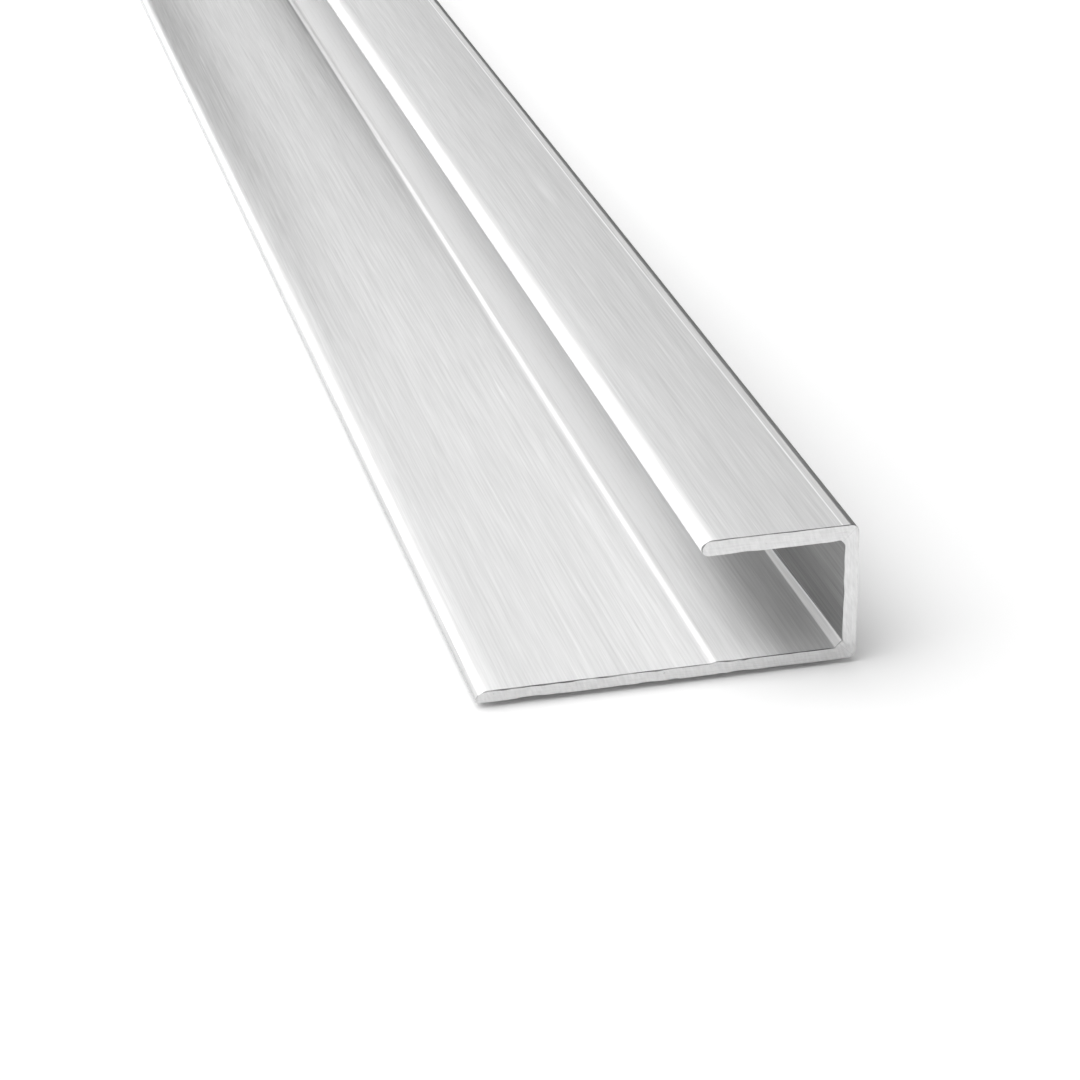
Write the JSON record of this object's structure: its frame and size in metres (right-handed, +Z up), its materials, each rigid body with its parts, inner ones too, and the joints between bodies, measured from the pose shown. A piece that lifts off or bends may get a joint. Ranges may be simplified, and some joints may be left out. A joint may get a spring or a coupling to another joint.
{
  "type": "aluminium edge trim profile",
  "caption": "Sawn length of brushed aluminium U-profile with unequal legs: a long flat flange, a web and a short lip that hold and cover the edge of a panel.",
  "frame": {"origin": "under the middle of the stock, on the plane of the flange's underside, half way across the overall width", "axes": "+X across the section towards the web, +Y along the stock, +Z up from the flange's underside towards the lip"},
  "size_m": [0.0264, 1, 0.01],
  "materials": {
    "aluminium": "brushed"
  },
  "bodies": {
    "root": {"edge_trim": "aluminium"}
  },
  "joints": []
}
